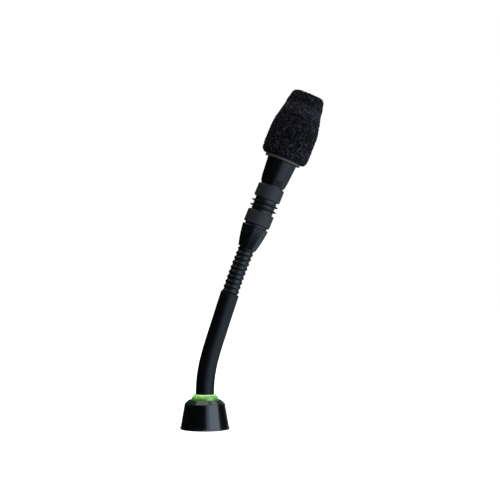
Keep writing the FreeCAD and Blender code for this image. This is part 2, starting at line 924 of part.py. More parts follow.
def make_windscreen():
    inner = s.cartridge_radius + s.wire_gap
    rim = s.cartridge_radius + s.snap_ring_rim
    collar = inner + s.collar_wall
    collar_top = s.snap_ring_height + s.collar_rise
    turned(
        "snap_ring",
        [
            (inner, 0),
            (rim - s.snap_ring_chamfer, 0),
            (rim, s.snap_ring_chamfer),
            (rim, s.snap_ring_height - s.snap_ring_chamfer),
            (rim - s.snap_ring_chamfer, s.snap_ring_height),
            (collar, s.snap_ring_height),
            (collar, collar_top),
            (inner, collar_top),
        ],
        in_head(housing_top + s.fit_gap),
    )
    foam_bore = collar + s.fit_gap
    foam_foot = s.snap_ring_height + s.fit_gap
    cavity_top = s.foam_height - s.foam_roof
    turned(
        "windscreen_foam",
        [
            (foam_bore, 0),
            (rim + s.foam_foot_rim, 0, Bulge(s.foam_foot_bulge)),
            (s.foam_radius, s.foam_foot_rise),
            (s.foam_radius, s.foam_straight, Bulge(s.foam_top_bulge)),
            (s.foam_top_radius + s.foam_edge, s.foam_height - s.foam_edge),
            (s.foam_top_radius, s.foam_height),
            (0, s.foam_height),
            (0, cavity_top),
            (inner, cavity_top),
            (inner, collar_top - foam_foot + s.fit_gap),
            (foam_bore, collar_top - foam_foot + s.fit_gap),
        ],
        in_head(housing_top + s.fit_gap + foam_foot),
    )


# ---------------------------------------------------------------- build, check and write

make_base()
make_pins()
make_leds()
make_jacket()
make_flex()
make_cable()
make_isolator()
make_preamp()
make_cartridge()
make_windscreen()
doc.recompute()

for item in doc.Objects:
    if "Invalid" in item.State or "Error" in item.State:
        raise RuntimeError(f"{item.Label} did not recompute: {item.State}")
for name, item in kept.items():
    if item.Shape.isNull() or not item.Shape.isValid() or not item.Shape.Solids:
        raise RuntimeError(f"{name} has no valid solid")

os.makedirs("parts", exist_ok=True)
for name, item in kept.items():
    item.Shape.exportStep(os.path.join("parts", f"{name}.step"))
print(f"{len(kept)} nodes, dock bore {dock_bore_depth.value:.2f} mm deep")
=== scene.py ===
import json
import math
from types import SimpleNamespace

import bmesh
import bpy
import numpy as np
from mathutils import Matrix, Vector


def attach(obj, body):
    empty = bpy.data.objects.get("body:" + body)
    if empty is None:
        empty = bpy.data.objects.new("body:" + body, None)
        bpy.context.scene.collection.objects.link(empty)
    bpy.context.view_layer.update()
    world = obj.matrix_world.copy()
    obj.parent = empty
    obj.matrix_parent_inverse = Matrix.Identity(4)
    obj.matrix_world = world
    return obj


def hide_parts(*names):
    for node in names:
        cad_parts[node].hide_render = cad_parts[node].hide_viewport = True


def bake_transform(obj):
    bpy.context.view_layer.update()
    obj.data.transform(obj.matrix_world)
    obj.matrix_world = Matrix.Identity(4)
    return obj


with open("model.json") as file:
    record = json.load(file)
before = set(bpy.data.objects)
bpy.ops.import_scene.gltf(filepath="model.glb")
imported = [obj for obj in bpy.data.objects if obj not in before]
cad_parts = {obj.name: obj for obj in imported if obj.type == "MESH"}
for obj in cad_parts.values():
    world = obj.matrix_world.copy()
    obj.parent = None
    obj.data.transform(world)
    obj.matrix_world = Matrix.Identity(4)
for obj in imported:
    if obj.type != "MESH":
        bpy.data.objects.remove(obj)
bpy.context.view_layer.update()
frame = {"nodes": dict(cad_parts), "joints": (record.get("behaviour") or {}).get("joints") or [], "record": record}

# Lengths in this script are millimetres until a mesh is finished; MM turns them into metres.
MM = 0.001
CRISP = math.radians(38)  # a sharper corner than this keeps its edge
MIDDLE = Vector((0.02, 0, 0.07))  # where the lights point, in metres

# ---------------------------------------------------------------- sizes of the visible pieces

base = SimpleNamespace(
    lip=10.35, lip_height=0.8, foot=10.1, shoulder=8.4, shoulder_height=10.6, crown=6.8,
    crown_height=12.1, hole=5.85, roof=10.0, stack=7.05, dock=7.6, dock_depth=4.4,
)
lens = SimpleNamespace(
    foot=8.9, flange=6.6, flange_height=1.1, radius=5.7, waist=5.35, waist_height=13.25,
    top=4.45, top_height=14.5, hole=4.0, socket=4.57, socket_height=2.62,
)
contacts = SimpleNamespace(count=6, circle=4.2, radius=0.5, foot=4.6, top=7.2)
neck = SimpleNamespace(
    foot=8.15, jacket=3.85, jacket_bore=3.47, jacket_over_last_pivot=6.5, crest=3.55, root=3.06,
    hidden=3.44, bore=1.9, pitch=2.08, cable=1.1, ferrule_over_last_pivot=4.84, socket=5.0,
    board_top=8.0,
)
head = SimpleNamespace(
    ferrule=9.6, ferrule_foot=3.85, ferrule_top=5.6, spigot=3.22, groove=4.8, core=4.6,
    band=5.65, lower_band=10.5, fins=16.1, upper_band=21.9, upper_groove=27.6, housing=28.4,
    housing_top=39.1, housing_foot=5.2, housing_waist=5.65, housing_waist_rise=2.5,
    housing_shoulder=6.3, cavity=4.5, thread=5.32, board=30.05, fin_spacing=2.1, fin=5.85,
    fin_root=0.58, fin_edge=0.12, cartridge_foot=36.0, cartridge_room=0.05, floor=1.5,
    ferrule_room=0.08, ferrule_bulge=0.17, band_room=0.02, band_lead=0.3, band_lead_height=0.38,
)
screen = SimpleNamespace(
    ring_height=1.2, ring=7.6, bore=6.1, collar=6.5, collar_top=5.2, foot=8.5, foot_edge=0.25,
    radius=9.88,
    height=28.66, cavity_top=21.6, gap=0.02,
)

# ---------------------------------------------------------------- node trees


class Value:
    """A socket whose arithmetic adds Math nodes to its tree."""

    def __init__(self, tree, socket):
        self.tree = tree
        self.socket = socket

    def math(self, operation, *others):
        return self.tree.add("ShaderNodeMath", {"operation": operation}, self, *others)

    def __add__(self, other):
        return self.math("ADD", other)

    def __sub__(self, other):
        return self.math("SUBTRACT", other)

    def __mul__(self, other):
        return self.math("MULTIPLY", other)

    def __truediv__(self, other):
        return self.math("DIVIDE", other)

    def __rsub__(self, other):
        return self.tree.add("ShaderNodeMath", {"operation": "SUBTRACT"}, other, self)

    def __rtruediv__(self, other):
        return self.tree.add("ShaderNodeMath", {"operation": "DIVIDE"}, other, self)

    def __abs__(self):
        return self.math("ABSOLUTE")

    def __gt__(self, other):
        return self.math("GREATER_THAN", other)

    def __lt__(self, other):
        return self.math("LESS_THAN", other)

    __radd__ = __add__
    __rmul__ = __mul__

    def clamped(self):
        return self.math("MINIMUM", 1.0).math("MAXIMUM", 0.0)

    def out(self, name):
        return Value(self.tree, self.socket.node.outputs[name])


class Tree:
    """Adds nodes to one node tree: the node's type, its settings, then its sockets."""

    def __init__(self, tree):
        self.tree = tree

    def add(self, kind, settings=None, *ordered, **named):
        node = self.tree.nodes.new(kind)
        for key, setting in (settings or {}).items():
            if key == "stops":
                self.set_stops(node.color_ramp.elements, setting)
            else:
                setattr(node, key, setting)
        free = [socket for socket in node.inputs if socket.enabled]
        for socket, value in zip(free, ordered):
            self.feed(socket, value)
        for key, value in named.items():
            wanted = key.replace("_", " ")
            self.feed(next(item for item in free if item.name == wanted), value)
        outputs = [socket for socket in node.outputs if socket.enabled]
        return Value(self, outputs[0]) if outputs else node

    def feed(self, socket, value):
        if isinstance(value, Value):
            self.tree.links.new(value.socket, socket)
        elif value is not None:
            socket.default_value = value

    @staticmethod
    def set_stops(elements, stops):
        while len(elements) < len(stops):
            elements.new(0.5)
        for element, (place, colour) in zip(elements, stops):
            element.position = place
            element.color = (*colour, 1.0)


# ---------------------------------------------------------------- materials


class Finish(Tree):
    """A material under construction: its tree, its shader and its object coordinates."""

    def __init__(self, name):
        self.material = bpy.data.materials.new(name)
        self.material.use_nodes = True
        super().__init__(self.material.node_tree)
        self.shader = self.material.node_tree.nodes["Principled BSDF"]
        self.place = self.add("ShaderNodeTexCoord").out("Object")

    def set(self, **values):
        for key, value in values.items():
            self.feed(self.shader.inputs[key.replace("_", " ")], value)
        return self

    def noise(self, size, detail=2.0, roughness=0.5):
        """Noise from 0 to 1 whose features are about size millimetres across."""
        return self.add(
            "ShaderNodeTexNoise", None, Vector=self.place,
            Scale=1 / (size * MM), Detail=detail, Roughness=roughness,
        )

    def cells(self, size, feature="F1"):
        return self.add(
            "ShaderNodeTexVoronoi", {"feature": feature}, Vector=self.place, Scale=1 / (size * MM),
        )

    def mix(self, factor, a, b):
        return self.add(
            "ShaderNodeMix", {"data_type": "RGBA"}, Factor=factor, A=(*a, 1.0), B=(*b, 1.0)
        )

    def bump(self, height, depth):
        """Relief of depth millimetres where height goes from 0 to 1."""
        self.set(Normal=self.add(
            "ShaderNodeBump", None, Strength=1.0, Distance=depth * MM, Height=height
        ))

    def along(self):
        """Distance along the head's axis, in metres, for turned and wound marks."""
        axis = tuple(head_frame.col[2].to_3d())
        dot = self.add("ShaderNodeVectorMath", {"operation": "DOT_PRODUCT"}, self.place, axis)
        return dot.out("Value")


def gloss_black():
    """Polished moulding, with a painted green light over its shoulder: emission that stands in for the lit ring's
    light on the gloss.
    """
    f = Finish("gloss_black_moulding")
    dust = (f.noise(0.35, 4) - 0.62).clamped()
    height = f.add("ShaderNodeSeparateXYZ", None, f.place).out("Z") / MM
    # painted light: green emission rising from the shoulder to the crown, in place of the ring's light falling on
    # the gloss
    painted_ring_light = (height - base.shoulder_height + 0.5) / (base.crown_height - base.shoulder_height)
    f.set(
        Base_Color=f.mix(f.noise(3.0), (0.0016, 0.0016, 0.002), (0.003, 0.003, 0.0034)),
        Emission_Color=f.mix(painted_ring_light.clamped(), (0, 0, 0), (0.010, 0.020, 0.010)),
        Emission_Strength=1.0,
        Roughness=0.17 + 0.08 * f.noise(1.6, 3) + dust,
        Coat_Weight=0.10 + 0.08 * f.noise(5.0), Coat_Roughness=0.2,
    )
    f.bump(f.noise(0.9, 2), 0.008)
    return f.material


def green_lens():
    """Frosted plastic lit from inside, stronger at the lamps, with painted light: a painted highlight along the
    thin upper edge and painted light that grows towards the top.
    """
    f = Finish("green_lit_lens")
    height = f.add("ShaderNodeSeparateXYZ", None, f.place).out("Z") / MM
    # painted highlight: a bright band along the lens's thin upper edge
    rim = ((height - (lens.top_height - 0.5)) / 0.3).clamped()
    # painted light: brighter towards the top, darker low down where the lens's slope turns away from the light
    painted_top_light = ((height - base.crown_height - 0.2) / 1.5).clamped()
    cloud = f.noise(1.4, 3)
    lamp = f.noise(2.4, 1)
    # emission: the lamp spots and cloud are the lens's own light, the upper-edge and top terms are painted light
    lamp_and_painted_light = ((lamp - 0.5) * 1.1 + 0.3 * cloud + 0.62 * painted_top_light + 0.35 * rim).clamped()
    stops = ((0.1, (0.001, 0.03, 0.003)), (0.4, (0.006, 0.12, 0.012)),
             (0.75, (0.05, 0.28, 0.05)), (1.0, (0.24, 0.56, 0.20)))
    light = f.add("ShaderNodeValToRGB", {"stops": stops}, lamp_and_painted_light)
    f.set(
        # the base colour is painted lighter towards the top and along the upper edge too
        Base_Color=f.mix((cloud * 0.8 - 0.5 + 0.5 * painted_top_light + 0.5 * rim).clamped(),
                         (0.11, 0.19, 0.02), (0.50, 0.64, 0.24)),
        Emission_Color=light, Emission_Strength=1.0,
        Roughness=0.16 + 0.14 * f.noise(0.7, 2), Coat_Weight=0.6, Coat_Roughness=0.1,
    )
    f.bump(f.noise(0.8, 2), 0.015)
    return f.material


def sleeve_black():
    f = Finish("satin_neck_sleeve")
    mottle = f.noise(1.3, 3)
    f.set(
        Base_Color=f.mix(mottle, (0.002, 0.002, 0.0024), (0.004, 0.004, 0.005)),
        Roughness=0.34 + 0.14 * mottle, Specular_IOR_Level=0.17,
    )
    f.bump(0.6 * f.noise(1.0, 2) + 0.4 * f.noise(0.18, 2) + 5.0 * f.noise(5.0, 1), 0.025)
    return f.material


def wound_black():
    f = Finish("blackened_wound_wire")
    crest = f.add("ShaderNodeAttribute", {"attribute_name": "crest"}).out("Fac")
    grime = f.noise(0.5, 4)
    worn = ((crest - 0.8) * 4 * (0.4 + grime)).clamped()
    f.set(
        Base_Color=f.mix(worn * 0.6, (0.003, 0.003, 0.0036), (0.032, 0.032, 0.034)),
        Metallic=0.35 * worn,
        Roughness=0.24 + 0.14 * grime + 0.12 * (1 - crest), Specular_IOR_Level=0.5,
    )
    f.bump(f.noise(0.16, 2), 0.012)
    return f.material


def turned_black(name, dark, light, roughness, specular=0.5, line=0.09):
    """Blackened turned metal, with the tool's fine rings across the axis."""
    f = Finish(name)
    rings = (f.along() / (line * MM)).math("SINE")
    patch = f.noise(1.8, 3)
    f.set(
        Base_Color=f.mix(patch, dark, light), Roughness=roughness + 0.12 * f.noise(0.7, 3),
        Specular_IOR_Level=specular,
    )
    f.bump(0.5 + 0.25 * rings + 0.5 * f.noise(0.25, 2), 0.006)
    return f.material


def moulded_rubber(name, dark, light, grain=0.22, depth=0.03, roughness=0.58):
    f = Finish(name)
    pebbles = f.cells(grain)
    cloud = f.noise(1.5, 3)
    f.set(
        Base_Color=f.mix(cloud, dark, light),
        Roughness=roughness + 0.14 * cloud, Specular_IOR_Level=0.4,
    )
    f.bump(pebbles * 1.2 + 0.5 * f.noise(grain / 2, 2), depth)
    return f.material


def foam_black():
    f = Finish("open_cell_foam")
    pit = f.add("ShaderNodeAttribute", {"attribute_name": "pit"}).out("Fac")
    web = f.cells(0.5, "DISTANCE_TO_EDGE")
    cloud = f.noise(2.6, 2, 0.5)
    # painted shade: colour goes near black in the pits, where shade falls into the open cells
    raised = (1 - pit * 2.1).clamped()
    worm = (1 - abs(f.noise(0.7, 1, 0.5) - 0.5) * 17).clamped()
    # struts keep the foam's dark purple colour in a worm-like pattern; the pits and the hollows away from cell
    # edges are painted shade
    struts_and_painted_shade = ((0.06 + raised) * (0.02 + 1.5 * worm) * (0.75 + 0.25 * cloud) - 0.2 * web).clamped()
    f.set(
        Base_Color=f.mix(struts_and_painted_shade, (0.0004, 0.0003, 0.0005), (0.086, 0.070, 0.092)),
        Roughness=0.85 + 0.12 * cloud, Sheen_Weight=0.03, Sheen_Roughness=0.6,
        Specular_IOR_Level=0.04,
    )
    f.bump((1 - web * 3.0).clamped() + 0.5 * f.noise(0.3, 2), 0.16)
    return f.material


def metal(name, colour, roughness, grain=0.3):
    f = Finish(name)
    marks = f.noise(grain, 3)
    dark = tuple(0.75 * part for part in colour)
    f.set(
        Base_Color=f.mix(marks, dark, colour), Metallic=1.0,
        Roughness=roughness + 0.18 * f.noise(grain * 3, 3),
    )
    f.bump(marks, 0.005)
    return f.material


def plastic(name, colour, roughness, grain=0.3, depth=0.01):
    f = Finish(name)
    cloud = f.noise(grain * 4, 3)
    dark = tuple(0.8 * part for part in colour)
    f.set(Base_Color=f.mix(cloud, dark, colour), Roughness=roughness + 0.1 * cloud)
    f.bump(f.noise(grain, 2), depth)
    return f.material


def lamp_lens():
    f = Finish("lamp_lens")
    f.set(
        Base_Color=f.mix(f.noise(0.3), (0.5, 0.9, 0.5), (0.8, 1.0, 0.75)),
        Emission_Color=(0.25, 1.0, 0.3, 1.0), Emission_Strength=2.0, Roughness=0.25,
    )
    return f.material


# ---------------------------------------------------------------- outlines and turned meshes


def rounded(points, steps=5, shoulder=0.03):
    """A closed outline of (radius, height, corner radius) with its corners turned into arcs."""
    outline = []
    count = len(points)
    for index, (r, z, corner) in enumerate(points):
        here = np.array((r, z))
        before = np.array(points[index - 1][:2]) - here
        after = np.array(points[(index + 1) % count][:2]) - here
        if corner <= 0:
            outline.append(tuple(here))
            continue
        inwards, outwards = before / np.linalg.norm(before), after / np.linalg.norm(after)
        half = math.acos(max(-1, min(1, float(inwards @ outwards)))) / 2
        setback = corner / math.tan(half)
        room = 0.45 * min(np.linalg.norm(before), np.linalg.norm(after))
        setback = min(setback, room)
        corner = setback * math.tan(half)
        bisector = (inwards + outwards) / np.linalg.norm(inwards + outwards)
        centre = here + bisector * corner / math.sin(half)
        first = here + inwards * setback - centre
        last = here + outwards * setback - centre
        turn = math.atan2(first[0] * last[1] - first[1] * last[0], float(first @ last))
        outline.append(tuple(here + inwards * (setback + min(shoulder, room * 0.1))))
        for step in range(steps + 1):
            a = turn * step / steps
            c, s = math.cos(a), math.sin(a)
            outline.append(tuple(centre + (first[0] * c - first[1] * s,
                                           first[0] * s + first[1] * c)))
        outline.append(tuple(here + outwards * (setback + min(shoulder, room * 0.1))))
    return outline


def divided(outline, step):
    """The same closed outline with its long edges divided."""
    points = []
    for index, start in enumerate(outline):
        end = outline[(index + 1) % len(outline)]
        length = math.hypot(end[0] - start[0], end[1] - start[1])
        parts = max(1, math.ceil(length / step))
        if start[0] < 1e-9 and end[0] < 1e-9:
            parts = 1
        for part in range(parts):
            t = part / parts
            points.append((start[0] + (end[0] - start[0]) * t, start[1] + (end[1] - start[1]) * t))
    return points


def turned_mesh(name, outline, around=144):
    """A closed mesh turned about Z from a closed outline of (radius, height)."""
    points = [outline[0]]
    for point in outline[1:]:
        if math.dist(point, points[-1]) > 1e-4:
            points.append(point)
    mesh = bmesh.new()
    rings = []
    for r, z in points:
        if r < 1e-6:
            rings.append([mesh.verts.new((0, 0, z))])
            continue
        rings.append([
            mesh.verts.new((r * math.cos(a), r * math.sin(a), z))
            for a in (2 * math.pi * step / around for step in range(around))
        ])
    for index, ring in enumerate(rings):
        following = rings[(index + 1) % len(rings)]
        if len(ring) == 1 and len(following) == 1:
            continue
        for step in range(around):
            after = (step + 1) % around
            if len(ring) == 1:
                mesh.faces.new((ring[0], following[after], following[step]))
            elif len(following) == 1:
                mesh.faces.new((ring[step], ring[after], following[0]))
            else:
                mesh.faces.new((ring[step], ring[after], following[after], following[step]))
    bmesh.ops.recalc_face_normals(mesh, faces=mesh.faces)
    return finished(name, mesh)


def finished(name, mesh):
    """A smooth-shaded piece whose real corners stay crisp."""
    for face in mesh.faces:
        face.smooth = True
    for edge in mesh.edges:
        edge.smooth = edge.calc_face_angle(0) < CRISP
    data = bpy.data.meshes.new(name)
    mesh.to_mesh(data)
    mesh.free()
    return new_piece(name, data)


def new_piece(name, data):
    piece = bpy.data.objects.new(name, data)
    bpy.context.scene.collection.objects.link(piece)
    return piece


def corners(piece):
    co = np.empty(len(piece.data.vertices) * 3)
    piece.data.vertices.foreach_get("co", co)
    return co.reshape(-1, 3)


def put_corners(piece, co):
    piece.data.vertices.foreach_set("co", np.ascontiguousarray(co, float).ravel())
    piece.data.update()


def in_place(piece, matrix):
    """Turn a piece made in millimetres about Z into metres in the row's frame."""
    piece.data.transform(matrix @ Matrix.Scale(MM, 4))
    piece.data.update()
    return piece


def dress(piece, material, slot_name, body, *nodes):
    """Give a finished piece its material and its body, and hide the nodes it stands for."""
    piece.data.materials.clear()
    piece.data.materials.append(material)
    if body:
        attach(piece, body)
    if nodes:
        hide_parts(*nodes)
    return piece


# ---------------------------------------------------------------- the neck's line, from the joints

bends = [joint for joint in frame["joints"] if joint["type"] == "hinge"]
lower_count = sum(joint["name"].startswith("lower") for joint in bends)
pivots = [Vector(joint["pos_m"]) / MM for joint in bends]
head_axis = Vector(next(j["axis"] for j in frame["joints"] if j["type"] == "slide")).normalized()

reach = [pivots[0].z]
directions = [Vector((0, 0, 1))]
for start, end in zip(pivots, pivots[1:]):
    reach.append(reach[-1] + (end - start).length)
    directions.append((end - start).normalized())
directions.append(head_axis)
gaps = [after - before for before, after in zip(reach, reach[1:])]
blend_half = [0.46 * min(gaps[max(0, k - 1)], gaps[min(k, len(gaps) - 1)])
              for k in range(len(pivots))]

ferrule_foot = pivots[-1] + head_axis * neck.ferrule_over_last_pivot
across = Vector((0, 1, 0))
side = across.cross(head_axis).normalized()
head_frame = Matrix.Translation(ferrule_foot * MM) @ Matrix(
    (side, across, head_axis)
).transposed().to_4x4()


def neck_place(s):
    """Point and direction of the neck's line at a distance s from the base's rim."""
    for k, at in enumerate(reach):
        half = blend_half[k]
        if at - half < s < at + half:
            start = pivots[k] - directions[k] * half
            end = pivots[k] + directions[k + 1] * half
            t = (s - (at - half)) / (2 * half)
            first, last = start.lerp(pivots[k], t), pivots[k].lerp(end, t)
            return first.lerp(last, t), (last - first).normalized()
    k = sum(at <= s for at in reach)
    if k == 0:
        return Vector((0, 0, s)), directions[0]
    return pivots[k - 1] + directions[k] * (s - reach[k - 1]), directions[k]


def bend_to_neck(piece):
    """Lay a straight piece made about Z, in millimetres, along the neck's line, in metres."""
    co = corners(piece)
    heights, which = np.unique(np.round(co[:, 2], 5), return_inverse=True)
    places = [neck_place(height) for height in heights]
    centres = np.array([point for point, _ in places])[which.ravel()]
    sides = np.array([across.cross(along) for _, along in places])[which.ravel()]
    put_corners(piece, (centres + sides * co[:, :1] + np.array(across) * co[:, 1:2]) * MM)
    return piece


def across_joint(piece, k):
    """Bake the piece's transform into its mesh; the ends of its bend at pivot k are worked out but not used."""
    half = blend_half[k]
    start = (pivots[k] - directions[k] * half) * MM
    end = (pivots[k] + directions[k + 1] * half) * MM
    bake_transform(piece)


seams = [(before + after) / 2 for before, after in zip(reach, reach[1:])]

# ---------------------------------------------------------------- geometry trees


class Recipe(Tree):
    """A geometry tree with named inputs that ends in Realize Instances and Set Material."""

    def __init__(self, name, **sizes):
        self.group = bpy.data.node_groups.new(name, "GeometryNodeTree")
        super().__init__(self.group)
        interface = self.group.interface
        interface.new_socket("Geometry", in_out="OUTPUT", socket_type="NodeSocketGeometry")
        interface.new_socket("Geometry", in_out="INPUT", socket_type="NodeSocketGeometry")
        for key, size in sizes.items():
            kind = "NodeSocketInt" if isinstance(size, int) else "NodeSocketFloat"
            socket = interface.new_socket(key, in_out="INPUT", socket_type=kind)
            socket.default_value = size
        self.inputs = self.add("NodeGroupInput")

    def size(self, name):
        return self.inputs.out(name)

    def finish(self, geometry, material):
        real = self.add("GeometryNodeRealizeInstances", None, geometry)
        smooth = self.add("GeometryNodeSetShadeSmooth", None, real)
        done = self.add("GeometryNodeSetMaterial", None, smooth, Material=material)
        self.add("NodeGroupOutput", None, done)

    def make(self, name, start=None, **sizes):
        """Run the tree, on a starting mesh or on none, and return its result as a plain piece."""
        holder = start or new_piece(name, bpy.data.meshes.new(name))
        modifier = holder.modifiers.new(name, "NODES")
        modifier.node_group = self.group
        for item in self.group.interface.items_tree:
            if item.item_type == "SOCKET" and item.in_out == "INPUT" and item.name in sizes:
                modifier[item.identifier] = sizes[item.name]
        bpy.context.view_layer.update()
        graph = bpy.context.evaluated_depsgraph_get()
        data = bpy.data.meshes.new_from_object(holder.evaluated_get(graph))
        holder.modifiers.clear()
        holder.data = data
        holder.name = name
        return holder


def closed_up(piece, distance=1e-4):
    """Merge doubled corners and point the faces outwards."""
    mesh = bmesh.new()
    mesh.from_mesh(piece.data)
    bmesh.ops.remove_doubles(mesh, verts=mesh.verts, dist=distance)
    bmesh.ops.recalc_face_normals(mesh, faces=mesh.faces)
    mesh.to_mesh(piece.data)
    mesh.free()
    return piece


def wound_tube_recipe(material):
    """A tube along Z with one right-handed ridge wound round it, and a plain bore."""
    g = Recipe("wound_tube", Start=0.0, End=1.0, Pitch=2.0, Root=2.9, Crest=3.3, Bore=1.9,
               Around=96, Along=24)
    along = g.size("Along")
    around = g.size("Around")
    grid = g.add("GeometryNodeMeshGrid", None, 1.0, 1.0, around + 1, along + 4)
    place = g.add("GeometryNodeInputPosition")
    x = g.add("ShaderNodeSeparateXYZ", None, place)
    turn = x.out("X") + 0.5
    row = ((x.out("Y") + 0.5) * (along + 3)).math("ROUND")
    outer = (row > 0.5) * (row < along + 1.5)
    share = ((row - 1) / along).clamped() * (row < along + 2.5)
    s = g.size("Start") + share * (g.size("End") - g.size("Start"))
    phase = (s / g.size("Pitch") - turn + 64).math("FRACT")
    ramp = 1 - abs(phase * 2 - 1)
    soft = ramp * ramp * (3 - 2 * ramp)
    ridge = 0.45 * ramp + 0.55 * soft
    radius = g.size("Root") + (g.size("Crest") - g.size("Root")) * ridge
    r = g.size("Bore") + outer * (radius - g.size("Bore"))
    angle = turn * (2 * math.pi)
    point = g.add("ShaderNodeCombineXYZ", None, r * angle.math("COSINE"), r * angle.math("SINE"), s)
    shaped = g.add("GeometryNodeSetPosition", None, grid, Position=point)
    marked = g.add("GeometryNodeStoreNamedAttribute", {"data_type": "FLOAT", "domain": "POINT"},
                   shaped, Name="crest", Value=ridge * outer)
    g.finish(marked, material)
    return g


# ---------------------------------------------------------------- camera and light


def make_camera():
    """Level, at half the object's height and right of the base's axis, so the lean is centred."""
    centre_x, height, distance, field = 18.8, 74.5, 620.0, 208.3
    data = bpy.data.cameras.new("camera")
    data.sensor_width = 36.0
    data.lens = data.sensor_width * distance / field
    camera = bpy.data.objects.new("camera", data)
    camera.location = Vector((centre_x, -distance, height)) * MM
    camera.rotation_euler = (math.pi / 2, 0, 0)
    bpy.context.scene.collection.objects.link(camera)
    bpy.context.scene.camera = camera


def make_soft_box(name, azimuth, elevation, distance, width, height, strength, colour,
                  mirrored=True):
    """An area light that faces the object; azimuth 0 is in front, 90 to the right."""
    data = bpy.data.lights.new(name, "AREA")
    data.shape = "RECTANGLE"
    data.size, data.size_y = width, height
    data.energy = strength * width * height * math.pi
    data.color = colour
    light = bpy.data.objects.new(name, data)
    a, e = math.radians(azimuth), math.radians(elevation)
    away = Vector((math.sin(a) * math.cos(e), -math.cos(a) * math.cos(e), math.sin(e)))
    light.location = MIDDLE + away * distance
    light.rotation_euler = away.to_track_quat("Z", "Y").to_euler()
    light.visible_glossy = mirrored
    bpy.context.scene.collection.objects.link(light)


def make_stage():
    """A pale floor and backdrop that the object neither mirrors nor is lit by."""
    floor = in_place(turned_mesh("floor", [(0, -2.0), (1500, -2.0), (1500, 0.0), (0, 0.0)], 64),
                     Matrix.Identity(4))
    f = Finish("pale_floor")
    f.set(Base_Color=f.mix(f.noise(60), (0.86, 0.86, 0.86), (0.9, 0.9, 0.9)), Roughness=0.9,
          Emission_Color=(1, 1, 1, 1), Emission_Strength=0.92)
    floor.data.materials.append(f.material)
    floor.visible_glossy = floor.visible_diffuse = floor.visible_shadow = False
    world = bpy.data.worlds.new("studio")
    bpy.context.scene.world = world
    world.use_nodes = True
    studio = Tree(world.node_tree)
    seen = studio.add("ShaderNodeLightPath").out("Is Camera Ray")
    backdrop = world.node_tree.nodes["Background"]
    studio.feed(backdrop.inputs["Strength"], 0.012 + seen * 1.0)
    backdrop.inputs["Color"].default_value = (1, 1, 1, 1)
    bpy.context.scene.view_settings.view_transform = "Standard"
    cool, neutral = (0.68, 0.84, 1.0), (0.97, 0.99, 1.0)
    make_soft_box("key", 53, 4, 0.9, 0.84, 1.15, 3.3, cool)
    make_soft_box("key_edge", 20, 10, 0.9, 0.34, 0.9, 1.7, cool)
    make_soft_box("low_front", 8, -14, 0.9, 0.45, 0.26, 1.6, cool)
    make_soft_box("top", 165, 76, 1.0, 1.1, 0.8, 2.3, neutral)
    make_soft_box("low_right", 100, -32, 0.8, 0.8, 0.55, 1.6, cool)
    make_soft_box("back", 160, 8, 1.2, 0.9, 0.9, 0.35, cool)
    make_soft_box("rear_low", 205, -18, 1.0, 0.5, 0.3, 1.6, cool)
    make_soft_box("left_fill", -80, 30, 1.0, 1.0, 1.0, 1.1, neutral, mirrored=False)


make_camera()
make_stage()

# ---------------------------------------------------------------- base


def make_base(material):
    b = base
    outline = rounded([
        (b.dock, 0, 0.12), (b.lip, 0, 0.22), (b.lip, b.lip_height, 0.2),
        (b.foot, b.lip_height, 0.06), (b.shoulder, b.shoulder_height, 0.3),
        (b.crown, b.crown_height, 0.2), (b.hole, b.crown_height, 0.08), (b.hole, b.roof, 0),
        (b.stack, b.roof, 0), (b.stack, b.dock_depth, 0.06), (b.dock, b.dock_depth, 0),
    ])
    skirt = in_place(turned_mesh("base_shell", outline, 192), Matrix.Identity(4))
    dress(skirt, material, "gloss_black", "base", "base_skirt")


def contact_pin_recipe(material):
    """A ring of pins with rounded tips that point down."""
    g = Recipe("contact_pins", Count=6, Circle=4.2, Radius=0.5, Foot=4.6, Top=7.2)
    circle = g.add("GeometryNodeMeshCircle", {"fill_type": "NONE"}, g.size("Count"),
                   g.size("Circle"))
    length = g.size("Top") - g.size("Foot")
    shank = g.add("GeometryNodeMeshCylinder", None, 40, 48, 2, g.size("Radius"), length)
    place = g.add("ShaderNodeSeparateXYZ", None, g.add("GeometryNodeInputPosition"))
    height = place.out("Z") + length / 2
    short = (1 - height / g.size("Radius")).clamped()
    width = (1 - short * short * 0.95).math("SQRT")
    shaped = g.add("ShaderNodeCombineXYZ", None, place.out("X") * width, place.out("Y") * width,
                   height + g.size("Foot"))
    pin = g.add("GeometryNodeSetPosition", None, shank, Position=shaped)
    spread = g.add("GeometryNodeInstanceOnPoints", None, circle, Instance=pin)
    g.finish(spread, material)
    return g


def make_contacts(material):
    c = contacts
    pins = contact_pin_recipe(material).make(
        "contact_pins", Count=c.count, Circle=c.circle, Radius=c.radius, Foot=c.foot, Top=c.top
    )
    dress(in_place(pins, Matrix.Identity(4)), material, "gold_pin", "base", "connector_pins")


def make_lens(material):
    n = lens
    outline = rounded([
        (n.socket, n.foot, 0), (n.flange, n.foot, 0), (n.flange, n.foot + n.flange_height, 0),
        (n.radius, n.foot + n.flange_height, 0), (n.radius, base.crown_height + 0.1, 0.25),
        (n.waist, n.waist_height, 0.6), (n.top, n.top_height, 0.3), (n.hole, n.top_height, 0.08),
        (n.hole, n.foot + n.socket_height, 0), (n.socket, n.foot + n.socket_height, 0),
    ])
    ring = in_place(turned_mesh("lit_ring", outline, 160), Matrix.Identity(4))
    dress(ring, material, "green_lens", "base", "light_ring")


# ---------------------------------------------------------------- neck


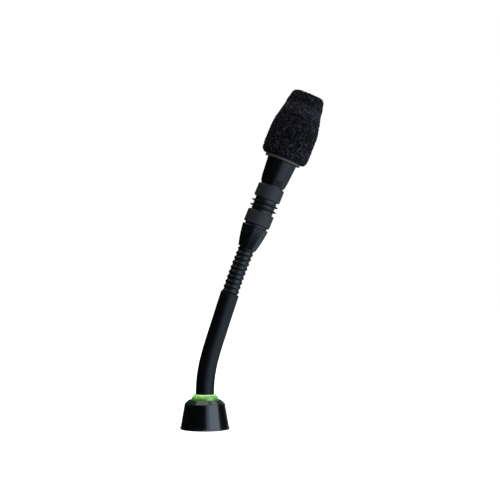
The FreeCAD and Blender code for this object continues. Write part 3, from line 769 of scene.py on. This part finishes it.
def make_flex(material):
    tree = wound_tube_recipe(material)
    ends = [neck.foot] + seams + [reach[-1] + neck.ferrule_over_last_pivot + neck.socket]
    for k, (start, end) in enumerate(zip(ends, ends[1:])):
        bare = k >= lower_count
        rows = math.ceil((end - start) / neck.pitch * (28 if bare else 10))
        piece = tree.make(
            f"wound_flex_{k + 1:02d}", Start=start, End=end, Pitch=neck.pitch, Root=neck.root,
            Crest=neck.crest if bare else neck.hidden, Bore=neck.bore,
            Around=112 if bare else 48, Along=rows,
        )
        bend_to_neck(closed_up(piece))
        nodes = [f"flex_link_{k + 1:02d}"] + (["flex_link_00"] if k == 0 else [])
        dress(piece, material, "flex_metal", None, *nodes)
        across_joint(piece, k)


def make_jacket(material):
    top = reach[lower_count - 1] + neck.jacket_over_last_pivot
    ends = [neck.foot] + seams[:lower_count - 1] + [top]
    for k, (start, end) in enumerate(zip(ends, ends[1:])):
        edge = 0.16 if end == top else 0.0
        outline = rounded([
            (neck.jacket_bore, start, 0), (neck.jacket, start, 0), (neck.jacket, end, edge),
            (neck.jacket_bore, end, edge / 2),
        ])
        piece = turned_mesh(f"neck_sleeve_{k + 1:02d}", divided(outline, 0.3), 112)
        bend_to_neck(piece)
        nodes = [f"neck_jacket_{k + 1:02d}"] + (["neck_jacket_00"] if k == 0 else [])
        dress(piece, material, "jacket", None, *nodes)
        across_joint(piece, k)


def make_cable(material):
    top = reach[-1] + neck.ferrule_over_last_pivot + head.board
    ends = [neck.board_top] + seams + [top]
    for k, (start, end) in enumerate(zip(ends, ends[1:])):
        outline = [(0, start), (neck.cable, start), (neck.cable, end), (0, end)]
        piece = bend_to_neck(turned_mesh(f"inner_cable_{k + 1:02d}", divided(outline, 0.5), 24))
        dress(piece, material, "cable", None, "mic_cable")
        across_joint(piece, k)


# ---------------------------------------------------------------- head


def make_ferrule(material):
    h = head
    bulge = [
        (h.ferrule_foot + (h.ferrule_top - h.ferrule_foot) * t
         + h.ferrule_bulge * math.sin(math.pi * t),
         (h.ferrule - 0.25) * t, 0)
        for t in (step / 12 for step in range(1, 12))
    ]
    outline = rounded([
        (neck.crest + h.ferrule_room, 0, 0), (h.ferrule_foot, 0, 0.18), *bulge,
        (h.ferrule_top, h.ferrule - 0.28, 0.12), (h.ferrule_top - 0.28, h.ferrule, 0.08),
        (h.spigot, h.ferrule, 0), (h.spigot, neck.socket, 0),
        (neck.crest + h.ferrule_room, neck.socket, 0),
    ])
    piece = in_place(turned_mesh("cone_ferrule", outline, 160), head_frame)
    dress(piece, material, "ferrule_black", "head", "neck_ferrule")


def make_isolator(rubber, band_rubber):
    h = head
    middle = (h.fins + h.upper_band) / 2
    fins = []
    for offset in (-h.fin_spacing / 2, h.fin_spacing / 2):
        centre = middle + offset
        fins += [(h.core, centre - h.fin_root, 0.12), (h.fin, centre - h.fin_edge, 0.1),
                 (h.fin, centre + h.fin_edge, 0.1), (h.core, centre + h.fin_root, 0.12)]
    outline = rounded([
        (h.spigot, h.ferrule, 0), (h.groove, h.ferrule, 0.08), (h.groove, h.lower_band, 0),
        (h.core, h.lower_band, 0), (h.core, h.fins, 0), *fins, (h.core, h.upper_band, 0),
        (h.core, h.upper_groove, 0), (h.groove, h.upper_groove, 0), (h.groove, h.housing, 0.08),
        (h.spigot, h.housing, 0),
    ])
    piece = in_place(turned_mesh("isolator_waist", outline, 144), head_frame)
    dress(piece, rubber, "isolator_rubber", "head", "isolator_sleeve")
    for name, foot, top in (("lower_band", h.lower_band, h.fins),
                            ("upper_band", h.upper_band, h.upper_groove)):
        outline = rounded([
            (h.core + h.band_room, foot, 0), (h.band - h.band_lead, foot, 0.1),
            (h.band, foot + h.band_lead_height, 0.18), (h.band, top - h.band_lead_height, 0.18),
            (h.band - h.band_lead, top, 0.1), (h.core + h.band_room, top, 0),
        ])
        piece = in_place(turned_mesh(f"{name}_grip", outline, 160), head_frame)
        dress(piece, band_rubber, "band", "head", name)


def make_housing(material):
    h = head
    seat = h.cartridge_foot - h.cartridge_room
    outline = rounded([
        (h.spigot, h.housing, 0), (h.housing_foot, h.housing, 0.15),
        (h.housing_waist, h.housing + h.housing_waist_rise, 1.6),
        (h.housing_shoulder, h.housing_top, 0.15), (h.thread, h.housing_top, 0.05),
        (h.thread, seat, 0), (h.cavity, seat, 0),
        (h.cavity, h.housing + h.floor, 0), (h.spigot, h.housing + h.floor, 0),
    ])
    piece = in_place(turned_mesh("tapered_body", outline, 176), head_frame)
    dress(piece, material, "housing_black", "head", "preamp_housing")


# ---------------------------------------------------------------- windscreen


def make_snap_ring(material):
    w = screen
    foot = head.housing_top + w.gap
    outline = rounded([
        (w.bore, foot, 0.05), (w.ring, foot, 0.28), (w.ring, foot + w.ring_height, 0.28),
        (w.collar, foot + w.ring_height, 0), (w.collar, foot + w.collar_top, 0.1),
        (w.bore, foot + w.collar_top, 0.1),
    ])
    piece = in_place(turned_mesh("clip_ring", outline, 160), head_frame)
    dress(piece, material, "snap_grey", "windscreen", "snap_ring")


def foam_outline():
    """The windscreen from its foot: a tight lower edge, a straight lower half, a slow taper."""
    w = screen
    foot = [(w.foot - w.foot_edge, 0.0), (w.foot + 0.1, 0.04), (9.1, 0.42), (9.5, 0.95),
            (9.74, 1.8)]
    side = [(w.radius, 3.2), (w.radius, 7.0), (w.radius, 11.4), (9.76, 13.3), (9.42, 15.2)]
    taper = [(9.02, 17.2), (8.45, 20.0), (7.96, 22.5), (7.47, 24.9), (7.0, 26.9)]
    crown = [(6.62, 27.85), (6.3, 28.28), (5.75, 28.52), (4.6, w.height)]
    return foot + side + taper + crown


def smooth_line(points, step):
    """Points along a smooth curve through a few given ones, evenly spaced."""
    knots = np.array(points, float)
    padded = np.vstack([2 * knots[0] - knots[1], knots, 2 * knots[-1] - knots[-2]])
    line = []
    for a, b, c, d in zip(padded, padded[1:], padded[2:], padded[3:]):
        parts = max(2, math.ceil(float(np.linalg.norm(c - b)) / step))
        for part in range(parts):
            t = part / parts
            line.append(tuple(0.5 * (
                2 * b + (c - a) * t + (2 * a - 5 * b + 4 * c - d) * t**2
                + (3 * b - a - 3 * c + d) * t**3
            )))
    return line + [tuple(knots[-1])]


def foam_recipe(material):
    """Opens the cells of a foam skin: pits between struts, and a slightly uneven surface."""
    g = Recipe("open_cells", Cell=0.8, Depth=0.75, Swell=0.05, Seed=4.0)
    skin = g.inputs.out("Geometry")
    place = g.add("GeometryNodeInputPosition")
    normal = g.add("GeometryNodeInputNormal")
    outside = g.add("GeometryNodeInputNamedAttribute", {"data_type": "FLOAT"}, "outside")

    def cells(size):
        return g.add("ShaderNodeTexVoronoi", {"voronoi_dimensions": "4D"}, Vector=place,
                     W=g.size("Seed"), Scale=1 / size)

    def noise(size, detail):
        return g.add("ShaderNodeTexNoise", {"noise_dimensions": "4D"}, Vector=place,
                     W=g.size("Seed"), Scale=1 / size, Detail=detail)

    small = cells(g.size("Cell"))
    large = cells(g.size("Cell") * 1.7)
    pit = ((1 - small * 1.25).clamped() * 0.6 + (1 - large * 1.25).clamped() * 0.5).clamped()
    uneven = noise(g.size("Cell") * 4, 2.0) - 0.5
    fine = noise(g.size("Cell") * 0.45, 2.0) - 0.5
    depth = g.size("Depth")
    height = uneven * g.size("Swell") * 2 + depth * 0.35 - pit * depth + fine * depth * 0.4
    lift = height * outside
    offset = g.add("ShaderNodeVectorMath", {"operation": "SCALE"}, normal, Scale=lift)
    moved = g.add("GeometryNodeSetPosition", None, skin, Offset=offset)
    # the stored pit mask is what the foam's material paints as shade in the pits
    marked = g.add("GeometryNodeStoreNamedAttribute", {"data_type": "FLOAT", "domain": "POINT"},
                   moved, Name="pit", Value=pit * outside)
    g.finish(marked, material)
    return g


def make_foam(material):
    w = screen
    step = 0.2
    outer = smooth_line(foam_outline(), step)
    outer += divided([outer[-1], (0.0, w.height), (0.0, w.height - 0.001)], step)[1:-1]
    bore = w.collar + w.gap
    inner = [(0.0, w.cavity_top), (w.bore, w.cavity_top), (w.bore, w.collar_top - w.ring_height),
             (bore, w.collar_top - w.ring_height), (bore, 0.0)]
    # Known fault, kept as it is: only the last points of the closing edge are dropped, so the
    # rest of it makes a thin cone inside the bore and leaves the foam's foot without a flat face.
    dropped = math.ceil(w.foot - w.foot_edge - bore)
    inner = divided(inner, 1.0)[:-dropped]
    outline = outer + inner
    start = turned_mesh("foam_cap", outline, round(2 * math.pi * w.radius / step))
    co = corners(start)
    radius = np.hypot(co[:, 0], co[:, 1])
    above = np.clip((co[:, 2] - (w.cavity_top + 1.0)) / 1.0, 0, 1)
    beside = np.clip((radius - (w.foot - 0.2)) / 0.4, 0, 1)
    mark = start.data.attributes.new("outside", "FLOAT", "POINT")
    mark.data.foreach_set("value", np.maximum(above, beside).astype(np.float32))
    piece = foam_recipe(material).make("foam_cap", start)
    foot_height = head.housing_top + w.gap + w.ring_height + w.gap
    in_place(piece, head_frame @ Matrix.Translation((0, 0, foot_height * MM)))
    dress(piece, material, "foam", "windscreen", "windscreen_foam")


# ---------------------------------------------------------------- nodes kept from the frame


def dress_nodes(materials):
    """Every node that stays gets its finish on its own material slots."""
    subparts = {item["node"]: item["material_slot"] for item in frame["record"]["subparts"]}
    for name, node in frame["nodes"].items():
        finish = materials.get(subparts[name])
        if finish is None:
            continue
        node.data.materials.clear()
        node.data.materials.append(finish)


board_green = plastic("board_green", (0.02, 0.13, 0.06), 0.4)
dress_nodes({
    "steel": metal("plated_steel", (0.55, 0.55, 0.56), 0.25),
    "spacer_plastic": plastic("spacer_plastic", (0.03, 0.03, 0.035), 0.5),
    "board": board_green,
    "led": lamp_lens(),
    "connector_plastic": plastic("connector_plastic", (0.018, 0.018, 0.022), 0.45),
    "cartridge_black": turned_black("cartridge_black", (0.010, 0.010, 0.012),
                                    (0.018, 0.018, 0.020), 0.42),
    "brass": metal("turned_brass", (0.80, 0.58, 0.26), 0.25),
    "film": metal("metal_film", (0.90, 0.80, 0.55), 0.15),
    "felt": moulded_rubber("grey_felt", (0.10, 0.10, 0.10), (0.18, 0.18, 0.18), 0.12, 0.05, 0.8),
    "capsule_plastic": plastic("capsule_plastic", (0.72, 0.72, 0.68), 0.4),
})

make_base(gloss_black())
make_lens(green_lens())
make_contacts(metal("gold_plate", (0.95, 0.70, 0.28), 0.2, 0.15))
make_flex(wound_black())
make_jacket(sleeve_black())
make_cable(plastic("cable_sheath", (0.03, 0.03, 0.033), 0.5))
make_ferrule(turned_black("ferrule_black", (0.003, 0.003, 0.0034), (0.006, 0.006, 0.007), 0.2,
                          0.32))
make_isolator(
    moulded_rubber("isolator_rubber", (0.004, 0.004, 0.005), (0.008, 0.008, 0.009), 0.3, 0.01, 0.4),
    moulded_rubber("band_rubber", (0.013, 0.013, 0.0135), (0.026, 0.025, 0.025)),
)
make_housing(turned_black("housing_black", (0.002, 0.002, 0.0025), (0.004, 0.004, 0.005), 0.24,
                          0.2))
make_snap_ring(moulded_rubber("snap_grey", (0.070, 0.062, 0.050), (0.098, 0.086, 0.068), 0.25,
                              0.02, 0.45))
make_foam(foam_black())
